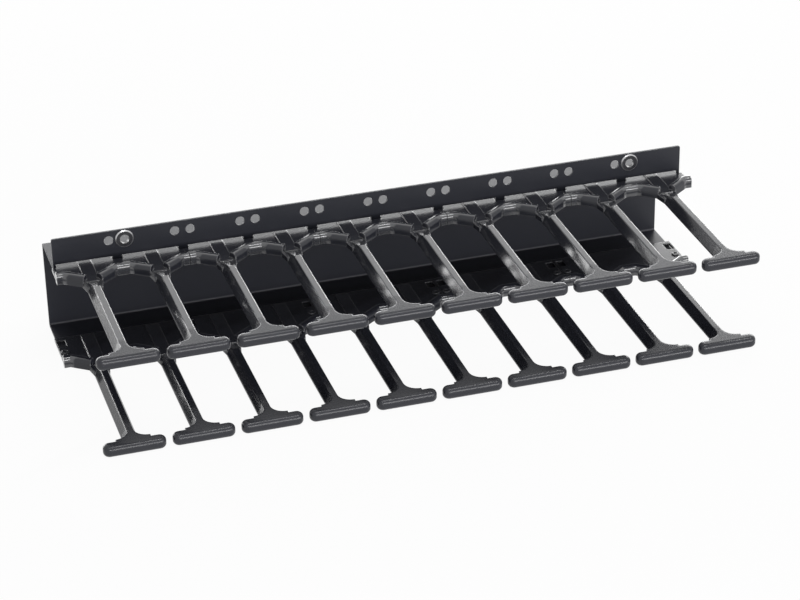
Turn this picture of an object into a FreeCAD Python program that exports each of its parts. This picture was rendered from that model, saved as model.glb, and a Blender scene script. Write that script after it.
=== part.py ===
import FreeCAD, Part
import math
import os

# Horizontal cable manager for a 19 inch rack, two rack units high: a folded steel tray
# with an upright lacing plate, and two rows of moulded plastic finger modules.
# Frame: X along the rack width, -Y towards the fingers' tips, Z up. The origin is the
# centre of the whole part's box on its bottom face. All sizes are in millimetres.

V = FreeCAD.Vector

# ---- Driving sizes ------------------------------------------------------------------

# Row of modules
finger_pitch = 44.45        # one finger to each rack unit of length
fingers_per_module = 2
module_count = 5
module_gap = 0.4            # split line between two neighbouring modules

# Folded tray
sheet = 1.5                 # sheet steel with its coat
tray_width = 441.6
channel_height = 63.4       # bottom face to top face of the upper flange
flange_depth = 56.0         # from the rear face
bend_radius = 2.0           # outside of each fold

# Lacing plate, welded on the tray's upper flange by the tabs between its slots
upright_front = 42.4        # front face, from the tray's rear face
total_height = 85.5         # bottom face of the tray to the top edge
foot_depth = 10.0           # reach of the tabs behind the plate
upright_corner = 1.2        # rounded top corners
slot_width = 38.2
slot_share = 0.172          # slot height over the plate's rise above the flange
hole_bore = 6.4
hole_spacing = 10.5         # between the two holes of a pair
hole_share = 0.3            # depth of the hole centres below the top edge, same rise

# Flanged bushes in the lacing plate
bush_wall = 0.8
bush_flange = 12.4          # diameter
bush_flange_thick = 1.2
bush_chamfer = 0.7
bush_clear = 0.05           # between the bush's barrel and its hole

# Finger module
plate_thick = 2.0
plate_rear = 25.6           # rear edge of the base plate, from the tray's rear face
row_height = 6.4            # from the flange to the top of ridges and heads
lip_front = 62.0            # front face of the lip at the middle of an arch
lip_depth = 5.4
lip_roll = 2.7              # radius along its front top edge
lip_back_roll = 1.5
lip_foot_roll = 0.8
lip_overlap = 1.0           # base plate running into the lip
arch_flat = 8.2             # length of the arch's straight middle
arch_run = 11.8             # length of each slanting side, along X
arch_rise = 8.9             # length of each slanting side, along Y
ridge_width = 4.2
ridge_ramp = 15.0           # length over which a finger's top rises from the plate
foot_width = 10.2           # a finger's sides slope from its foot to the ridge
edge_round = 0.5            # long top edges of a ridge
gusset_length = 8.0         # from the lips' roots to a finger's own width
joint_overlap = 1.0         # solids running into each other inside one moulding
tip_front = 184.0           # front face of the heads, from the tray's rear face
head_width = 40.3
head_depth = 8.6
head_round = 3.0            # rim of a head, all round
neck_radius = 9.0           # between the ridge and the head
slot_play = 0.9             # between a tongue and the sides of its slot

# Details of the base plate
window_width = 5.2
window_depth = 8.4
window_side = 3.8           # from the module's end to the window's middle
window_back = 8.0           # from the plate's rear edge to the window's middle
pin_hole = 2.4
pin_boss = 5.0
pin_boss_height = 0.8
pin_back = 20.6             # from the plate's rear edge
spine_width = 9.0
spine_height = 0.7
spine_rear = 2.5            # from the plate's rear edge

# ---- Sizes that follow --------------------------------------------------------------

module_width = fingers_per_module * finger_pitch
depth = tip_front
upper_seat = channel_height
lower_seat = sheet
plate_rise = total_height - channel_height
slot_height = plate_rise * slot_share
hole_height = total_height - plate_rise * hole_share
web_width = finger_pitch - slot_width
arch_half = arch_flat / 2 + arch_run
root_half = finger_pitch / 2 - arch_half
root_front = lip_front + arch_rise


def box(x0, x1, y0, y1, z0, z1):
    """A block between two depths y0 < y1, both measured forwards from the rear face."""
    return Part.makeBox(x1 - x0, y1 - y0, z1 - z0, V(x0, -y1, z0))


def plan(points, z0, z1):
    """A prism over an outline of (x, depth) points."""
    corners = [V(x, -d, z0) for x, d in points]
    face = Part.Face(Part.makePolygon(corners + corners[:1]))
    return face.extrude(V(0, 0, z1 - z0))


def bore(radius, x, z, d0, d1):
    """A cylinder along the depth."""
    return Part.makeCylinder(radius, d1 - d0, V(x, -d0, z), V(0, -1, 0))


def row_places(count, pitch):
    """Middles of a centred row."""
    return [(i - (count - 1) / 2) * pitch for i in range(count)]


def edges_at(shape, test):
    """The straight and curved edges whose middle passes a test."""
    found = []
    for edge in shape.Edges:
        middle = edge.valueAt((edge.FirstParameter + edge.LastParameter) / 2)
        if test(edge, middle):
            found.append(edge)
    return found


# ---- Tray ---------------------------------------------------------------------------

def channel_section(reach, height, width):
    """A back wall with a flange at its foot and one at its head, all of one sheet."""
    wall = box(-width / 2, width / 2, 0, sheet, 0, height)
    foot = box(-width / 2, width / 2, 0, reach, 0, sheet)
    head_flange = box(-width / 2, width / 2, 0, reach, height - sheet, height)
    return wall.multiFuse([foot, head_flange]).removeSplitter()


def round_fold(solid, corner, radius):
    """Round the long edge that runs through a (depth, height) corner."""
    corner_depth, corner_height = corner

    def on_fold(edge, middle):
        away = max(abs(middle.y + corner_depth), abs(middle.z - corner_height))
        return away < 0.01 and edge.Length > tray_width / 2
    return solid.makeFillet(radius, edges_at(solid, on_fold))


def make_tray():
    tray = channel_section(flange_depth, channel_height, tray_width)
    inner_radius = bend_radius - sheet
    for z, inside in ((0, sheet), (channel_height, channel_height - sheet)):
        tray = round_fold(tray, (0, z), bend_radius)
        tray = round_fold(tray, (sheet, inside), inner_radius)
    return tray


# ---- Lacing plate -------------------------------------------------------------------

def make_lacing_plate():
    """An upright with a foot folded back; the slots leave only tabs of the foot."""
    half = tray_width / 2
    rear = upright_front - sheet
    upright = box(-half, half, rear, upright_front, channel_height, total_height)
    foot = box(-half, half, upright_front - foot_depth, upright_front,
               channel_height, channel_height + sheet)
    plate = upright.fuse(foot).removeSplitter()
    plate = round_fold(plate, (upright_front, channel_height), bend_radius)
    plate = round_fold(plate, (rear, channel_height + sheet), bend_radius - sheet)
    top_corners = edges_at(plate, lambda edge, middle: abs(middle.z - total_height) < 0.01
                           and abs(abs(middle.x) - half) < 0.01)
    plate = plate.makeFillet(upright_corner, top_corners)
    cuts = []
    for x in row_places(module_count * fingers_per_module, finger_pitch):
        cuts.append(box(x - slot_width / 2, x + slot_width / 2,
                        upright_front - foot_depth - sheet, upright_front + sheet,
                        channel_height - sheet, channel_height + slot_height))
    for x, bushed in lacing_holes():
        radius = bush_seat() if bushed else hole_bore / 2
        cuts.append(bore(radius, x, hole_height, rear - sheet, upright_front + sheet))
    return plate.cut(Part.makeCompound(cuts))


def lacing_holes():
    """X of each hole, and whether a bush sits in it."""
    pairs = row_places(module_count * fingers_per_module - 1, finger_pitch)
    holes = []
    for i, x in enumerate(pairs):
        holes.append((x - hole_spacing / 2, False))
        holes.append((x + hole_spacing / 2, i in (0, len(pairs) - 1)))
    return holes


# ---- Bushes -------------------------------------------------------------------------

def bush_seat():
    return hole_bore / 2 + bush_wall + bush_clear


def make_bush(x):
    """A flanged sleeve: its flange lies on the front of the lacing plate."""
    rear = upright_front - sheet
    front = upright_front + bush_flange_thick
    chamfer_start = front - bush_chamfer
    flange = bore(bush_flange / 2, x, hole_height, upright_front, chamfer_start)
    chamfer = Part.makeCone(bush_flange / 2, bush_flange / 2 - bush_chamfer, bush_chamfer,
                            V(x, -chamfer_start, hole_height), V(0, -1, 0))
    barrel = bore(bush_seat() - bush_clear, x, hole_height, rear, upright_front)
    bush = flange.multiFuse([chamfer, barrel])
    return bush.cut(bore(hole_bore / 2, x, hole_height, rear - sheet, front + sheet))


# ---- Finger module ------------------------------------------------------------------

def arch_line(middle, start, end):
    """Front line of an arch about a middle, from one side to the other, as (x, depth)."""
    line = [
        (middle - arch_half, root_front),
        (middle - arch_flat / 2, lip_front),
        (middle + arch_flat / 2, lip_front),
        (middle + arch_half, root_front),
    ]
    inside = [point for point in line if start <= point[0] <= end]
    if line[0][0] < start:
        inside.insert(0, (start, lip_front))
    if line[-1][0] > end:
        inside.append((end, lip_front))
    return inside


def module_lips(half):
    """The three lip lines of one module: half an arch, a whole arch, half an arch."""
    return [
        arch_line(-module_width / 2, -half, 0),
        arch_line(0, -half, half),
        arch_line(module_width / 2, 0, half),
    ]


def lip(line):
    """A rolled edge swept along a front line."""
    start, second = (V(line[0][0], -line[0][1], 0), V(line[1][0], -line[1][1], 0))
    along = (second - start).normalize()
    inward = V(-along.y, along.x, 0)

    def at(u, z):
        return start + inward * u + V(0, 0, z)

    def arc(u0, z0, r, a0, a1):
        a = [math.radians(t) for t in (a0, (a0 + a1) / 2, a1)]
        pts = [at(u0 + r * math.cos(t), z0 + r * math.sin(t)) for t in a]
        return Part.Arc(*pts).toShape()

    roll = lip_roll
    back = lip_back_roll
    foot = lip_foot_roll
    low = -sheet
    edges = [
        arc(roll, row_height - roll, roll, 180, 90),
        Part.LineSegment(at(roll, row_height), at(lip_depth - back, row_height)).toShape(),
        arc(lip_depth - back, row_height - back, back, 90, 0),
        Part.LineSegment(at(lip_depth, row_height - back), at(lip_depth, low)).toShape(),
        Part.LineSegment(at(lip_depth, low), at(foot, low)).toShape(),
        arc(foot, low + foot, foot, 270, 180),
        Part.LineSegment(at(0, low + foot), at(0, row_height - roll)).toShape(),
    ]
    path = Part.makePolygon([V(x, -d, 0) for x, d in line])
    return path.makePipeShell([Part.Wire(edges)], True, False, 1)


def finger(x):
    """One finger: a bar with sloping sides, whose top rises from the plate, and its gusset."""
    end = tip_front - head_depth + joint_overlap
    start = root_front - lip_depth / 2
    section = [V(x - foot_width / 2, -start, -sheet), V(x + foot_width / 2, -start, -sheet),
               V(x + ridge_width / 2, -start, row_height),
               V(x - ridge_width / 2, -start, row_height)]
    bar = Part.Face(Part.makePolygon(section + section[:1])).extrude(V(0, start - end, 0))
    above_ramp = [V(x - foot_width, joint_overlap - start, plate_thick),
                  V(x - foot_width, -root_front, plate_thick),
                  V(x - foot_width, -root_front - ridge_ramp, row_height),
                  V(x - foot_width, -root_front - ridge_ramp, 2 * row_height),
                  V(x - foot_width, joint_overlap - start, 2 * row_height)]
    wedge = Part.Face(Part.makePolygon(above_ramp + above_ramp[:1]))
    bar = bar.cut(wedge.extrude(V(2 * foot_width, 0, 0)))
    ridge_edges = edges_at(bar, lambda edge, middle: abs(middle.z - row_height) < 0.01
                           and edge.Length > tip_front / 4)
    bar = bar.makeFillet(edge_round, ridge_edges)
    root = root_half + joint_overlap
    gusset = plan([
        (x - root, start), (x - foot_width / 2, root_front + gusset_length),
        (x + foot_width / 2, root_front + gusset_length), (x + root, start),
    ], -sheet, plate_thick)
    return bar, gusset


def head(x):
    """The T-shaped head: a bar rounded all round, and the neck that grows out of the ridge."""
    back = tip_front - head_depth
    end = head_depth / 2
    reach = head_width / 2 - end
    neck = ridge_width / 2
    curve = neck_radius * (1 - math.cos(math.pi / 4))

    def at(dx, d):
        return V(x + dx, -d, -sheet)

    bar = Part.Wire([
        Part.LineSegment(at(-reach, back), at(reach, back)).toShape(),
        Part.Arc(at(reach, back), at(reach + end, back + end), at(reach, tip_front)).toShape(),
        Part.LineSegment(at(reach, tip_front), at(-reach, tip_front)).toShape(),
        Part.Arc(at(-reach, tip_front), at(-reach - end, back + end),
                 at(-reach, back)).toShape(),
    ])
    height = row_height + sheet
    bar = Part.Face(bar).extrude(V(0, 0, height))
    rims = edges_at(bar, lambda edge, middle: min(abs(middle.z + sheet),
                                                  abs(middle.z - row_height)) < 0.01)
    bar = bar.makeFillet(head_round, rims)
    root = back - neck_radius
    inner = back + end
    edges = [Part.LineSegment(at(-neck, root), at(neck, root)).toShape()]
    for side in (-1, 1):
        edges += [
            Part.Arc(at(side * neck, root), at(side * (neck + curve), back - curve),
                     at(side * (neck + neck_radius), back)).toShape(),
            Part.LineSegment(at(side * (neck + neck_radius), back),
                             at(side * (neck + neck_radius), inner)).toShape(),
        ]
    edges.append(Part.LineSegment(at(-neck - neck_radius, inner),
                                  at(neck + neck_radius, inner)).toShape())
    neck_face = Part.Face(Part.Wire(Part.__sortEdges__(edges)))
    return bar, neck_face.extrude(V(0, 0, height))


def module(notched):
    """One moulding, about x = 0, lying on the plane z = 0."""
    half = module_width / 2 - module_gap / 2
    fingers = row_places(fingers_per_module, finger_pitch)
    bodies = []
    outline = [(-half, plate_rear)]
    for i, line in enumerate(module_lips(half)):
        outline += [(x, d - lip_overlap) for x, d in line]
        bodies.append(lip(line))
    outline.append((half, plate_rear))
    plate = plan(outline, 0, plate_thick)
    for x in fingers:
        bodies += finger(x)
        bodies += head(x)
        bodies.append(box(x - spine_width / 2, x + spine_width / 2, plate_rear + spine_rear,
                          root_front, 0, plate_thick + spine_height))
    pins = [] if notched else [side * (module_width / 2 - window_side) for side in (-1, 1)]
    for x in pins:
        bodies.append(Part.makeCylinder(pin_boss / 2, plate_thick + pin_boss_height,
                                        V(x, -(plate_rear + pin_back), 0)))
    solid = plate.multiFuse(bodies).removeSplitter()
    cuts = []
    for x in pins:
        window = plate_rear + window_back
        cuts.append(box(x - window_width / 2, x + window_width / 2, window - window_depth / 2,
                        window + window_depth / 2, -sheet, row_height))
        cuts.append(Part.makeCylinder(pin_hole / 2, row_height,
                                      V(x, -(plate_rear + pin_back), 0)))
    if notched:
        gap = web_width / 2 + slot_play / 2
        for x in row_places(fingers_per_module + 1, finger_pitch):
            cuts.append(box(x - gap, x + gap, plate_rear - sheet, upright_front + slot_play,
                            -sheet, row_height))
    return solid.cut(Part.makeCompound(cuts))


# ---- Assembly -----------------------------------------------------------------------

def export(shape, node, x=0, z=0):
    """Move a piece to its place in the part's frame and write it."""
    placed = shape.copy()
    placed.translate(V(x, depth / 2, z))
    placed.exportStep("parts/" + node + ".step")
    print(node, placed.isValid(), len(placed.Solids), round(placed.Volume))


def main():
    os.makedirs("parts", exist_ok=True)
    export(make_tray(), "tray")
    export(make_lacing_plate(), "lacing_plate")
    upper = module(notched=True)
    lower = module(notched=False)
    for i, x in enumerate(row_places(module_count, module_width), start=1):
        export(upper, "upper_finger_module_" + str(i), x, upper_seat)
        export(lower, "lower_finger_module_" + str(i), x, lower_seat)
    bushed = [x for x, has_bush in lacing_holes() if has_bush]
    for name, x in zip(("left_bush", "right_bush"), bushed):
        export(make_bush(x), name)


main()
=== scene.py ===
"""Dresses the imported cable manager: coat, moulded plastic, bushes, welds, and a plain studio."""

import math

import bpy
from bpy.props import (
    FloatProperty,
    FloatVectorProperty,
    IntProperty,
    PointerProperty,
)
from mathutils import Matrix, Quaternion, Vector


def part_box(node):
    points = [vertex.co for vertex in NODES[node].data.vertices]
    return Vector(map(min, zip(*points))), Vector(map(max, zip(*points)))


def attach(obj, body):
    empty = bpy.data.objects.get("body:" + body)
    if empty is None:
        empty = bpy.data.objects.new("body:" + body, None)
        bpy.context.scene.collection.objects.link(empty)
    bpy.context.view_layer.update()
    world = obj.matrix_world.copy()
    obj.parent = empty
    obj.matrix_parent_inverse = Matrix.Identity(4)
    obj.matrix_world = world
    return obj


bl_info = {
    "name": "Cable manager dressing",
    "version": (1, 0, 0),
    "blender": (4, 5, 0),
    "location": "3D View > Sidebar > Cable manager",
    "description": "Finishes and a studio for the packed rack cable manager",
    "category": "Object",
}

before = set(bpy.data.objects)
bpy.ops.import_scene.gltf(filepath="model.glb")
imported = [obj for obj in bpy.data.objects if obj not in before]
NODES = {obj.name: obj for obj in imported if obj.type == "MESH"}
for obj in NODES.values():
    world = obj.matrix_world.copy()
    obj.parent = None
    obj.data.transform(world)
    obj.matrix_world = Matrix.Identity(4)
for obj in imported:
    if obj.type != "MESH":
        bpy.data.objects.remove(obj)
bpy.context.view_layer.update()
MM = 0.001

TRAY = "tray"
LACING_PLATE = "lacing_plate"
UPPER_MODULES = sorted(name for name in NODES if name.startswith("upper_finger"))
LOWER_MODULES = sorted(name for name in NODES if name.startswith("lower_finger"))
MODULES = UPPER_MODULES + LOWER_MODULES
BUSHES = sorted(name for name in NODES if name.endswith("_bush"))
FINGERS_PER_MODULE = 2

WHITE = (1.0, 1.0, 1.0, 1.0)


def aim_point(stage):
    """The point that the camera looks at, in the row frame."""
    return Vector(stage.aim) + Vector((0.0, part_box(TRAY)[1].y, 0.0))


def finger_pitch():
    """Spacing of the fingers, from two neighbouring modules of one row."""
    first, second = (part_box(name)[0] for name in UPPER_MODULES[:2])
    return (second.x - first.x) / FINGERS_PER_MODULE


def link_to_scene(thing):
    bpy.context.scene.collection.objects.link(thing)


# ---- Node expressions ----------------------------------------------------------------


class Wire:
    """A node's output that takes part in sums and products written as Python."""

    def __init__(self, tree, socket):
        self.tree = tree
        self.socket = socket

    def node(self, kind, pick=0, settings=None, *values, **inputs):
        """Adds a node of any kind to this wire's tree; see make_node."""
        return make_node(self.tree, kind, pick, settings, *values, **inputs)

    def other(self, pick):
        """Another output of the node that this wire leaves."""
        return Wire(self.tree, find_socket(self.socket.node.outputs, pick))

    def maths(self, operation, *values, clamp=False):
        """One step of number maths."""
        settings = {"operation": operation, "use_clamp": clamp}
        return self.node("ShaderNodeMath", 0, settings, *values)

    def vector(self, operation, *others, pick="Vector"):
        """One step of vector maths with this wire first."""
        settings = {"operation": operation}
        return self.node("ShaderNodeVectorMath", pick, settings, self, *others)

    def __add__(self, other):
        return self.maths("ADD", self, other)

    def __radd__(self, other):
        return self.maths("ADD", other, self)

    def __sub__(self, other):
        return self.maths("SUBTRACT", self, other)

    def __rsub__(self, other):
        return self.maths("SUBTRACT", other, self)

    def __mul__(self, other):
        return self.maths("MULTIPLY", self, other)

    def __rmul__(self, other):
        return self.maths("MULTIPLY", other, self)

    def __truediv__(self, other):
        return self.maths("DIVIDE", self, other)

    def __rtruediv__(self, other):
        return self.maths("DIVIDE", other, self)

    def __pow__(self, other):
        return self.maths("POWER", self, other)

    def __rpow__(self, other):
        return self.maths("POWER", other, self)

    def __abs__(self):
        return self.maths("ABSOLUTE", self)

    def highest(self, other):
        return self.maths("MAXIMUM", self, other)

    def clamped(self):
        """Held between 0 and 1."""
        return self.maths("ADD", self, 0.0, clamp=True)


def find_socket(sockets, key):
    """A socket by its number, its identifier, or its name with _ for each space."""
    if isinstance(key, int):
        return sockets[key]
    name = key.replace("_", " ")
    return next(s for s in sockets if s.identifier == key or s.name == name)


def plug(tree, slot, value):
    """Links a wire to an input, or writes a plain value into it."""
    if isinstance(value, Wire):
        tree.links.new(value.socket, slot)
    else:
        slot.default_value = value


def make_node(tree, kind, pick=0, settings=None, *values, **inputs):
    """Adds a node of any kind, sets it up, fills its inputs and gives one output.

    values fill the first inputs in order, and inputs go by name. pick is None for a
    node that has no output.
    """
    made = tree.nodes.new(kind)
    for key, value in (settings or {}).items():
        setattr(made, key, value)
    for slot, value in zip(made.inputs, values):
        plug(tree, slot, value)
    for key, value in inputs.items():
        plug(tree, find_socket(made.inputs, key), value)
    if pick is None:
        return None
    return Wire(tree, find_socket(made.outputs, pick))


def blend_colours(tree, share, first, second):
    """The first colour where the share is 0 and the second where it is 1."""
    return make_node(
        tree, "ShaderNodeMix", "Result_Color", {"data_type": "RGBA"},
        Factor_Float=share, A_Color=first, B_Color=second,
    )


def split(place):
    """The three coordinates of a place as single numbers."""
    first = place.node("ShaderNodeSeparateXYZ", "X", Vector=place)
    return [first, first.other("Y"), first.other("Z")]


def ramp(value, start, full):
    """0 before start, 1 past full, and even in between."""
    return ((value - start) / (full - start)).clamped()


def distance_from(first, second):
    """Distance from a line, told by two coordinates that are both 0 on it."""
    return (first * first + second * second) ** 0.5


# ---- Finishes ------------------------------------------------------------------------

NOISE_MIDDLE = 0.5
BEVEL_SAMPLES = 6
STEADY_HIGHLIGHT = 0.6           # share of the painted edge highlight that doesn't follow the drift
UP_START, UP_FULL = 0.76, 0.96      # how far a face points up where polish comes in


def new_material(name):
    material = bpy.data.materials.new(name)
    material.use_nodes = True
    tree = material.node_tree
    tree.nodes.clear()
    return material, tree


def noise(place, size, detail, roughness):
    """Cloudy noise from 0 to 1, whose features are about one size across."""
    return place.node("ShaderNodeTexNoise", "Fac", Vector=place, Scale=1.0 / size,
                      Detail=detail, Roughness=roughness)


def black_finish(name, look, highlighted=None, polished=None):
    """A black surface with a fine skin, softened edges, painted highlights on its edges and on
    given lines, and polish.

    The first function takes the place on the piece and gives the share that gets a painted
    highlight;
    polished takes it too and gives the shares of polish and of crown.
    """
    material, tree = new_material(name)
    place = make_node(tree, "ShaderNodeTexCoord", "Object")
    grain = noise(place, look.grain_size, detail=2.0, roughness=0.55)
    drift = noise(place, look.drift_size, detail=3.0, roughness=0.5)
    plain = make_node(tree, "ShaderNodeNewGeometry", "Normal")
    rounded = make_node(tree, "ShaderNodeBevel", 0, {"samples": BEVEL_SAMPLES},
                        Radius=look.edge_radius)
    # Painted highlight: edges turn towards the lighter edge colour where the rounded normal leaves
    # the flat one.
    agree = plain.vector("DOT_PRODUCT", rounded, pick="Value")
    edge_highlight = ((1.0 - agree) * look.edge_highlight_gain).clamped()
    edge_highlight = edge_highlight * (STEADY_HIGHLIGHT + (1.0 - STEADY_HIGHLIGHT) * drift)
    polish = layer = highlight = 0.0
    if polished:
        polish, crowned = polished(place)
        lift = make_node(tree, "ShaderNodeCombineXYZ", Z=crowned * look.crown)
        rounded = rounded.vector("ADD", lift).vector("NORMALIZE")
        _, _, facing_up = split(plain)
        level = ramp(facing_up, UP_START, UP_FULL).highest(1.0 - crowned)
        layer = polish * level * look.polish
    # Painted highlight along given lines, the coat's fold and the bush's rim: they take the edge
    # colour, and metal where the finish has metal.
    if highlighted:
        highlight = highlighted(place)
        edge_highlight = edge_highlight.highest(highlight)
    roughness = (
        look.roughness + polish * (look.polish_roughness - look.roughness)
        + (grain - NOISE_MIDDLE) * look.grain_share
        + (drift - NOISE_MIDDLE) * look.drift_share
    ).clamped()
    skin = make_node(tree, "ShaderNodeBump", Strength=look.grain_strength,
                     Distance=look.grain_depth, Height=grain, Normal=rounded)
    # Base colour: the finish's own colour, lightened at edges and given lines as a painted
    # highlight.
    shader = make_node(
        tree, "ShaderNodeBsdfPrincipled",
        Base_Color=blend_colours(tree, edge_highlight, (*look.colour, 1.0), (*look.edge_highlight_colour, 1.0)),
        Metallic=highlight * look.metallic,
        Roughness=roughness,
        IOR=look.ior,
        Specular_IOR_Level=look.gloss,
        Coat_Weight=layer,
        Coat_Roughness=look.polish_roughness,
        Coat_IOR=look.polish_ior,
        Normal=skin,
    )
    make_node(tree, "ShaderNodeOutputMaterial", None, Surface=shader)
    return material


def dress(names, material):
    """Gives CAD nodes their finish, on the object's own material slot."""
    for name in names:
        node = NODES[name]
        if not node.data.materials:
            node.data.materials.append(None)
        for slot in node.material_slots:
            slot.link = "OBJECT"
            slot.material = material


# ---- Settings ------------------------------------------------------------------------


def colour_of(name, description, value):
    return FloatVectorProperty(
        name=name, description=description, subtype="COLOR",
        size=3, min=0.0, max=1.0, default=value,
    )


def share_of(name, description, value):
    return FloatProperty(
        name=name, description=description, subtype="FACTOR",
        min=0.0, max=1.0, default=value,
    )


def length_of(name, description, millimetres):
    return FloatProperty(
        name=name, description=description, unit="LENGTH", min=0.0,
        precision=5, default=millimetres * MM,
    )


def angle_of(name, description, degrees):
    return FloatProperty(
        name=name, description=description, subtype="ANGLE",
        default=math.radians(degrees),
    )


def number_of(name, description, value):
    return FloatProperty(name=name, description=description, default=value)


def direction_of(value):
    return FloatVectorProperty(
        name="Direction", description="From the aim towards the lamp",
        subtype="DIRECTION", size=3, default=value,
    )


class FinishSettings:
    """What every black finish has; each finish gives its own colours and sizes."""

    # Metal share of the places that carry the painted highlight.
    metallic: share_of("Bare metal", "How metallic the worn places are", 0.0)
    gloss: share_of("Gloss", "Specular level of the finish", 0.5)
    ior: number_of("Refraction", "Index of refraction", 1.5)
    polish: share_of("Polish", "Weight of the polished layer", 0.0)
    polish_roughness: share_of("Polish roughness", "Roughness of the polished layer", 0.12)
    polish_ior: number_of("Polish refraction", "Refraction of the polished layer", 1.7)
    grain_size: length_of("Grain size", "Width of one bump of the skin", 0.7)
    grain_depth: length_of("Grain depth", "Height of the skin's bumps", 0.02)
    grain_strength: share_of("Grain strength", "Share of the skin's relief", 0.5)
    grain_share: number_of("Grain in roughness", "Roughness that follows the grain", 0.06)
    drift_size: length_of("Drift size", "Width of the slow change in gloss", 40.0)
    drift_share: number_of("Drift in roughness", "Roughness of the slow change", 0.08)
    edge_highlight_gain: number_of("Edge gain", "How fast the edge colour comes in", 2.0)
    crown: share_of("Crown", "How far polished slopes seem to bulge upwards", 0.3)


class CoatSettings(FinishSettings, bpy.types.PropertyGroup):
    """Powder coat of the folded sheet metal."""

    colour: colour_of("Colour", "Body of the powder coat", (0.011, 0.012, 0.018))
    # Painted highlight colour along the coat's edges and in its fold.
    edge_highlight_colour: colour_of("Edge colour", "Coat at edges and folds", (0.07, 0.07, 0.08))
    roughness: share_of("Roughness", "Mean roughness", 0.44)
    gloss: share_of("Gloss", "Specular level of the coat", 0.34)
    edge_radius: length_of("Edge radius", "Radius that edges seem to have", 0.35)
    sheet: length_of("Sheet", "Thickness of the folded sheet", 1.5)
    # Painted highlight: a thin pale line along the inner fold, where the bend would catch light.
    fold_highlight_reach: length_of("Fold line", "Reach of the line rubbed along the fold", 1.0)
    fold_highlight_inset: length_of("Fold inset", "From both faces to the rubbed line", 0.6)


class PlasticSettings(FinishSettings, bpy.types.PropertyGroup):
    """Moulded plastic of the finger modules."""

    colour: colour_of("Colour", "Body of the plastic", (0.018, 0.019, 0.025))
    # Painted highlight colour along the plastic's edges.
    edge_highlight_colour: colour_of("Edge colour", "Plastic at its edges", (0.13, 0.13, 0.14))
    roughness: share_of("Roughness", "Mean roughness", 0.25)
    gloss: share_of("Gloss", "Specular level of the plastic", 0.43)
    polish: share_of("Polish", "Weight of the polish on the fingers", 1.0)
    grain_size: length_of("Grain size", "Width of one bump of the skin", 0.5)
    grain_depth: length_of("Grain depth", "Height of the skin's bumps", 0.01)
    edge_radius: length_of("Edge radius", "Radius that edges seem to have", 1.3)
    head_reach: length_of("Matt head", "Reach of the unpolished head and neck", 20.0)
    head_fade: length_of("Head fade", "Length over which the polish comes in", 4.0)
    web_reach: length_of("Web reach", "From the tray's rear face to the lips' front", 64.0)
    web_fade: length_of("Web fade", "Length over which the web ends", 1.0)
    web_drop: length_of("Web drop", "From a row's top down to its flat web", 4.4)
    web_play: length_of("Web play", "How far off that height is still the web", 0.3)


class BushSettings(FinishSettings, bpy.types.PropertyGroup):
    """Coated steel of the bushes, with a pale metallic rim as a painted highlight."""

    colour: colour_of("Colour", "Coat of the bush", (0.02, 0.02, 0.024))
    # Painted highlight on the bush's edges and rim, shown as pale steel; the rim is also made
    # metallic.
    edge_highlight_colour: colour_of("Edge colour", "Bare steel of the rim", (0.5, 0.5, 0.51))
    roughness: share_of("Roughness", "Mean roughness", 0.3)
    metallic: share_of("Bare metal", "How metallic the rim is", 0.8)
    edge_radius: length_of("Edge radius", "Radius that edges seem to have", 0.2)
    edge_highlight_gain: number_of("Edge gain", "How fast the edge colour comes in", 0.3)
    # Width and fade of the painted highlight on the rim.
    rim: length_of("Rim", "Width of the rim rubbed bare", 0.8)
    rim_fade: length_of("Rim fade", "Width over which the coat gives way", 0.2)


class WeldSettings(bpy.types.PropertyGroup):
    """Spot welds on the lacing plate's tabs."""

    count: IntProperty(name="Welds", description="Number of welded tabs", min=1, default=9)
    radius: length_of("Radius", "Radius of a weld's nugget", 1.9)
    rise: length_of("Rise", "How far a weld stands above its tab", 0.22)
    setback: length_of("Setback", "From a tab's rear edge to its weld", 4.2)
    sheet: length_of("Sheet", "Thickness of a tab", 1.5)


class BackLampSettings(bpy.types.PropertyGroup):
    """Low lamp behind the part, across from the camera."""

    elevation: angle_of("Elevation", "Height above the horizon", 15.0)
    distance: length_of("Distance", "From the aim to the lamp", 1800.0)
    width: length_of("Width", "Width of the lamp's face", 2600.0)
    height: length_of("Height", "Height of the lamp's face", 400.0)
    radiance: number_of("Radiance", "Brightness of the lamp's face", 7.5)


class LeftLampSettings(bpy.types.PropertyGroup):
    """Small low lamp behind the left end, for the fingers' left slopes."""

    direction: direction_of((-0.53, 0.84, 0.1))
    distance: length_of("Distance", "From the aim to the lamp", 1800.0)
    width: length_of("Width", "Width of the lamp's face", 900.0)
    height: length_of("Height", "Height of the lamp's face", 300.0)
    radiance: number_of("Radiance", "Brightness of the lamp's face", 9.0)


class RimLampSettings(bpy.types.PropertyGroup):
    """Narrow strip overhead, for the thin lines along rolled edges."""

    direction: direction_of((0.15, -0.25, 1.0))
    distance: length_of("Distance", "From the aim to the lamp", 1600.0)
    width: length_of("Width", "Width of the lamp's face", 2000.0)
    height: length_of("Height", "Height of the lamp's face", 80.0)
    radiance: number_of("Radiance", "Brightness of the lamp's face", 26.0)


class KeyLampSettings(bpy.types.PropertyGroup):
    """Long low lamp at the front, for the heads and the upright faces."""

    direction: direction_of((0.3, -1.0, 0.12))
    distance: length_of("Distance", "From the aim to the lamp", 2000.0)
    width: length_of("Width", "Width of the lamp's face", 2600.0)
    height: length_of("Height", "Height of the lamp's face", 400.0)
    radiance: number_of("Radiance", "Brightness of the lamp's face", 10.0)


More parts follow.
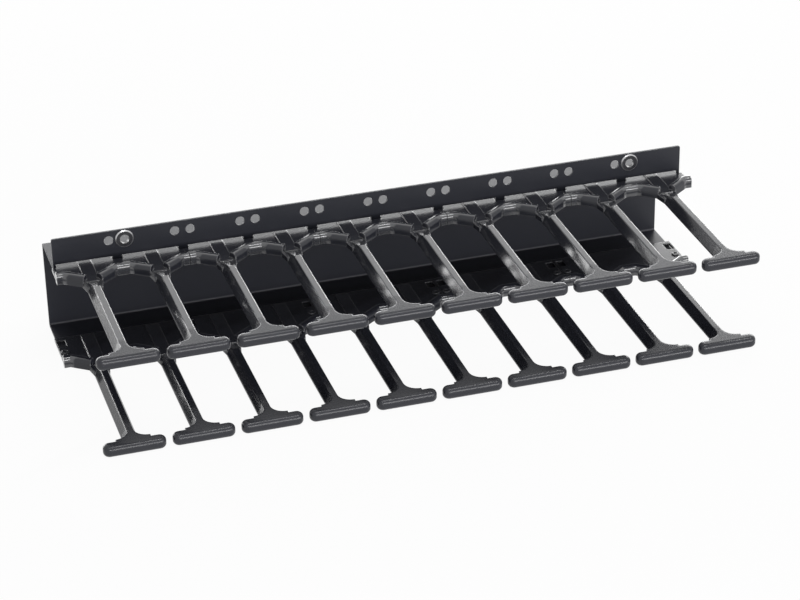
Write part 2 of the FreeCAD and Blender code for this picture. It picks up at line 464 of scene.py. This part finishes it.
class StageSettings(bpy.types.PropertyGroup):
    """Floor, lamps and camera."""

    floor_colour: colour_of("Floor", "Colour of floor and backdrop", (0.86, 0.86, 0.86))
    floor_white: share_of("Floor whiteness", "Share of plain white in the floor seen", 0.94)
    floor_reach: number_of("Floor reach", "Half of the floor's side, in tray widths", 20.0)
    ambient: share_of("Ambient", "Strength of the even light", 0.27)
    back: PointerProperty(type=BackLampSettings, name="Back lamp", description="Behind")
    left: PointerProperty(type=LeftLampSettings, name="Left lamp", description="Left end")
    rim: PointerProperty(type=RimLampSettings, name="Rim lamp", description="Overhead")
    key: PointerProperty(type=KeyLampSettings, name="Key lamp", description="In front")
    azimuth: angle_of("Camera azimuth", "Turn of the view towards the right end", 16.70)
    elevation: angle_of("Camera elevation", "Height of the camera's view", 28.08)
    roll: angle_of("Camera roll", "Tilt of the camera", 1.11)
    distance: length_of("Camera distance", "From the aim to the camera", 1735.3)
    aim: FloatVectorProperty(
        name="Aim", description="Point that the camera looks at, from the tray's rear face",
        unit="LENGTH", size=3, default=(-4.2 * MM, -109.1 * MM, 37.2 * MM),
    )
    lens: number_of("Lens", "Focal length in millimetres", 118.4)


class CableManagerSettings(bpy.types.PropertyGroup):
    """All settings of the cable manager's dressing."""

    coat: PointerProperty(type=CoatSettings, name="Coat", description="Powder coat")
    plastic: PointerProperty(
        type=PlasticSettings, name="Plastic", description="Moulded fingers",
    )
    bush: PointerProperty(type=BushSettings, name="Bush", description="Flanged bushes")
    welds: PointerProperty(type=WeldSettings, name="Welds", description="Spot welds")
    stage: PointerProperty(type=StageSettings, name="Stage", description="Studio")


# ---- Sheet metal ---------------------------------------------------------------------


class CABLE_OT_sheet_metal(bpy.types.Operator):
    """Powder coat on the folded tray and the lacing plate"""

    bl_idname = "cable.sheet_metal"
    bl_label = "Coat the sheet metal"

    def execute(self, context):
        look = context.scene.cable_manager.coat
        (_, _, low), (_, rear, _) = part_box(TRAY)
        highlight_depth = rear - look.sheet - look.fold_highlight_inset
        highlight_height = low + look.sheet + look.fold_highlight_inset

        def fold_highlight(place):
            """A painted highlight: a thin pale line in the bend between the back wall and the
            lower flange.
            """
            _, depth, height = split(place)
            away = distance_from(depth - highlight_depth, height - highlight_height)
            return ramp(away, look.fold_highlight_reach, look.fold_highlight_reach / 2)

        dress([TRAY, LACING_PLATE], black_finish("tray_coat", look, highlighted=fold_highlight))
        return {"FINISHED"}


# ---- Finger modules ------------------------------------------------------------------


class CABLE_OT_fingers(bpy.types.Operator):
    """Moulded plastic on both rows of finger modules"""

    bl_idname = "cable.fingers"
    bl_label = "Finish the finger modules"

    def execute(self, context):
        look = context.scene.cable_manager.plastic
        (_, tip, _), (_, _, upper_top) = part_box(UPPER_MODULES[0])
        _, (_, _, lower_top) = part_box(LOWER_MODULES[0])
        _, (_, rear, _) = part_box(TRAY)
        neck_end = tip + look.head_reach
        web_start = rear - look.web_reach

        def off_web(height, row_top):
            """1 away from the height of a row's flat web, 0 at it."""
            away = abs(height - (row_top - look.web_drop))
            return ramp(away, look.web_play, look.web_play + look.web_fade)

        def along_fingers(place):
            """Shares of polish and of crown: ribs and lips are smooth, ribs bulge."""
            _, depth, height = split(place)
            behind_neck = ramp(depth, neck_end, neck_end + look.head_fade)
            behind_head = ramp(depth, neck_end - 2 * look.head_fade,
                               neck_end - look.head_fade)
            among_lips = ramp(depth, web_start, web_start + look.web_fade)
            on_web = 1.0 - off_web(height, upper_top) * off_web(height, lower_top)
            polish = behind_neck * (1.0 - among_lips * on_web)
            crowned = behind_head * (1.0 - among_lips)
            return polish, crowned

        dress(MODULES, black_finish("finger_plastic", look, polished=along_fingers))
        return {"FINISHED"}


# ---- Bushes --------------------------------------------------------------------------


class CABLE_OT_bushes(bpy.types.Operator):
    """Coated steel on the two flanged bushes"""

    bl_idname = "cable.bushes"
    bl_label = "Finish the bushes"

    def execute(self, context):
        look = context.scene.cable_manager.bush
        for name in BUSHES:
            (left, _, low), (right, _, high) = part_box(name)
            highlight_from = (right - left) / 2 - look.rim

            def rim_highlight(place):
                """The outer rim of the flange, which takes a painted highlight."""
                across, _, height = split(place)
                away = distance_from(across - (left + right) / 2,
                                     height - (low + high) / 2)
                return ramp(away, highlight_from, highlight_from + look.rim_fade)

            dress([name], black_finish(name + "_steel", look, highlighted=rim_highlight))
        return {"FINISHED"}


# ---- Spot welds ----------------------------------------------------------------------

NUGGET_SEGMENTS = 28
NUGGET_RINGS = 12


def weld_row_tree(material):
    """A row of shallow round nuggets along X, centred on the origin."""
    tree = bpy.data.node_groups.new("weld_row", "GeometryNodeTree")
    tree.interface.new_socket(name="Count", in_out="INPUT", socket_type="NodeSocketInt")
    for name in ("Pitch", "Radius", "Rise"):
        tree.interface.new_socket(name=name, in_out="INPUT", socket_type="NodeSocketFloat")
    tree.interface.new_socket(name="Geometry", in_out="OUTPUT",
                              socket_type="NodeSocketGeometry")
    count = make_node(tree, "NodeGroupInput", "Count")
    pitch, radius, rise = (count.other(name) for name in ("Pitch", "Radius", "Rise"))
    step = make_node(tree, "ShaderNodeCombineXYZ", X=pitch)
    start = make_node(tree, "ShaderNodeCombineXYZ", X=(count - 1.0) * pitch * -0.5)
    line = make_node(tree, "GeometryNodeMeshLine", 0, {"mode": "OFFSET"}, Count=count,
                     Start_Location=start, Offset=step)
    ball = make_node(tree, "GeometryNodeMeshUVSphere", "Mesh", Segments=NUGGET_SEGMENTS,
                     Rings=NUGGET_RINGS, Radius=radius)
    flat = make_node(tree, "ShaderNodeCombineXYZ", X=1.0, Y=1.0, Z=rise / radius)
    nugget = make_node(tree, "GeometryNodeTransform", Geometry=ball, Scale=flat)
    smooth = make_node(tree, "GeometryNodeSetShadeSmooth", Geometry=nugget)
    row = make_node(tree, "GeometryNodeInstanceOnPoints", Points=line, Instance=smooth)
    solid = make_node(tree, "GeometryNodeRealizeInstances", Geometry=row)
    done = make_node(tree, "GeometryNodeSetMaterial", Geometry=solid, Material=material)
    make_node(tree, "NodeGroupOutput", None, Geometry=done)
    return tree


def mesh_from_tree(name, tree, values, place):
    """Runs a geometry tree and keeps its result as a plain mesh, moved to its place."""
    carrier = bpy.data.objects.new(name + "_carrier", bpy.data.meshes.new(name + "_carrier"))
    link_to_scene(carrier)
    modifier = carrier.modifiers.new("build", "NODES")
    modifier.node_group = tree
    for item in tree.interface.items_tree:
        if item.in_out == "INPUT":
            modifier[item.identifier] = values[item.name]
    bpy.context.view_layer.update()
    evaluated = carrier.evaluated_get(bpy.context.evaluated_depsgraph_get())
    mesh = bpy.data.meshes.new_from_object(evaluated)
    mesh.name = name
    for vertex in mesh.vertices:
        vertex.co += place
    carrier.modifiers.remove(modifier)
    bpy.data.objects.remove(carrier)
    piece = bpy.data.objects.new(name, mesh)
    link_to_scene(piece)
    return piece


class CABLE_OT_spot_welds(bpy.types.Operator):
    """Coated spot welds where the lacing plate's tabs lie on the tray"""

    bl_idname = "cable.spot_welds"
    bl_label = "Add the spot welds"

    def execute(self, context):
        welds = context.scene.cable_manager.welds
        material = bpy.data.materials["tray_coat"]
        low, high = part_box(LACING_PLATE)
        place = Vector((0.0, high.y - welds.setback, low.z + welds.sheet))
        values = {"Count": welds.count, "Pitch": finger_pitch(), "Radius": welds.radius,
                  "Rise": welds.rise}
        row = mesh_from_tree("spot_welds", weld_row_tree(material), values, place)
        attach(row, "root")
        return {"FINISHED"}


# ---- Stage ---------------------------------------------------------------------------


def seen_directly(tree):
    """1 for rays that look at a thing, mirror it or pass through glass, 0 for its light."""
    camera = make_node(tree, "ShaderNodeLightPath", "Is_Camera_Ray")
    glossy, through = camera.other("Is_Glossy_Ray"), camera.other("Is_Transmission_Ray")
    return camera.highest(glossy).highest(through)


def make_world(stage):
    """An even light that looks white and lights more weakly."""
    world = bpy.data.worlds.new("studio")
    bpy.context.scene.world = world
    world.use_nodes = True
    tree = world.node_tree
    tree.nodes.clear()
    strength = stage.ambient + seen_directly(tree) * (1.0 - stage.ambient)
    light = make_node(tree, "ShaderNodeBackground", Color=WHITE, Strength=strength)
    make_node(tree, "ShaderNodeOutputWorld", None, Surface=light)


def make_floor(stage):
    """A pale floor that looks almost white and still takes the shadow."""
    (left, _, _), (right, _, _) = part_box(TRAY)
    reach = stage.floor_reach * (right - left)
    mesh = bpy.data.meshes.new("floor")
    corners = [(-reach, -reach, 0), (reach, -reach, 0), (reach, reach, 0), (-reach, reach, 0)]
    mesh.from_pydata(corners, [], [(0, 1, 2, 3)])
    floor = bpy.data.objects.new("floor", mesh)
    link_to_scene(floor)
    material, tree = new_material("studio_floor")
    paint = make_node(tree, "ShaderNodeBsdfDiffuse", Color=(*stage.floor_colour, 1.0))
    white = make_node(tree, "ShaderNodeEmission", Color=WHITE, Strength=1.0)
    both = make_node(tree, "ShaderNodeMixShader", 0, None,
                     seen_directly(tree) * stage.floor_white, paint, white)
    make_node(tree, "ShaderNodeOutputMaterial", None, Surface=both)
    mesh.materials.append(material)


def heading(azimuth, elevation):
    """Direction turned from +Y towards +X by the azimuth, and raised by the elevation."""
    flat = math.cos(elevation)
    return Vector((math.sin(azimuth) * flat, math.cos(azimuth) * flat, math.sin(elevation)))


def soft_lamp(name, direction, look, aim):
    """A rectangular lamp that shines at the aim from a direction."""
    lamp = bpy.data.lights.new(name, "AREA")
    lamp.shape = "RECTANGLE"
    lamp.size, lamp.size_y = look.width, look.height
    lamp.energy = look.radiance * math.pi * look.width * look.height
    holder = bpy.data.objects.new(name, lamp)
    direction = Vector(direction).normalized()
    holder.location = aim + direction * look.distance
    holder.rotation_euler = direction.to_track_quat("Z", "Y").to_euler()
    holder.visible_camera = False
    link_to_scene(holder)


def make_camera(stage):
    """The camera, which looks at the aim from the front."""
    forward = heading(stage.azimuth, -stage.elevation)
    data = bpy.data.cameras.new("camera")
    data.lens = stage.lens
    camera = bpy.data.objects.new("camera", data)
    camera.location = aim_point(stage) - forward * stage.distance
    turn = forward.to_track_quat("-Z", "Y") @ Quaternion((0, 0, 1), -stage.roll)
    camera.rotation_euler = turn.to_euler()
    link_to_scene(camera)
    bpy.context.scene.camera = camera


class CABLE_OT_stage(bpy.types.Operator):
    """Floor, even light, soft lamps and the camera"""

    bl_idname = "cable.stage"
    bl_label = "Build the studio"

    def execute(self, context):
        stage = context.scene.cable_manager.stage
        aim = aim_point(stage)
        make_world(stage)
        make_floor(stage)
        behind = heading(stage.azimuth, stage.back.elevation)
        soft_lamp("back_lamp", behind, stage.back, aim)
        soft_lamp("left_lamp", stage.left.direction, stage.left, aim)
        soft_lamp("rim_lamp", stage.rim.direction, stage.rim, aim)
        soft_lamp("key_lamp", stage.key.direction, stage.key, aim)
        make_camera(stage)
        context.scene.view_settings.view_transform = "Standard"
        return {"FINISHED"}


# ---- Panel and registration ----------------------------------------------------------


class CABLE_PT_dressing(bpy.types.Panel):
    """Steps of the cable manager's dressing"""

    bl_idname = "CABLE_PT_dressing"
    bl_label = "Cable manager"
    bl_space_type = "VIEW_3D"
    bl_region_type = "UI"
    bl_category = "Cable manager"

    def draw(self, context):
        for step in STEPS:
            self.layout.operator(step.bl_idname)


STEPS = (
    CABLE_OT_sheet_metal,
    CABLE_OT_fingers,
    CABLE_OT_bushes,
    CABLE_OT_spot_welds,
    CABLE_OT_stage,
)
CLASSES = (
    CoatSettings,
    PlasticSettings,
    BushSettings,
    WeldSettings,
    BackLampSettings,
    LeftLampSettings,
    RimLampSettings,
    KeyLampSettings,
    StageSettings,
    CableManagerSettings,
    *STEPS,
    CABLE_PT_dressing,
)


def register():
    for entry in CLASSES:
        bpy.utils.register_class(entry)
    bpy.types.Scene.cable_manager = PointerProperty(type=CableManagerSettings)


def unregister():
    del bpy.types.Scene.cable_manager
    for entry in reversed(CLASSES):
        bpy.utils.unregister_class(entry)


def main():
    register()
    bpy.ops.cable.sheet_metal()
    bpy.ops.cable.fingers()
    bpy.ops.cable.bushes()
    bpy.ops.cable.spot_welds()
    bpy.ops.cable.stage()


if __name__ == "__main__":
    main()
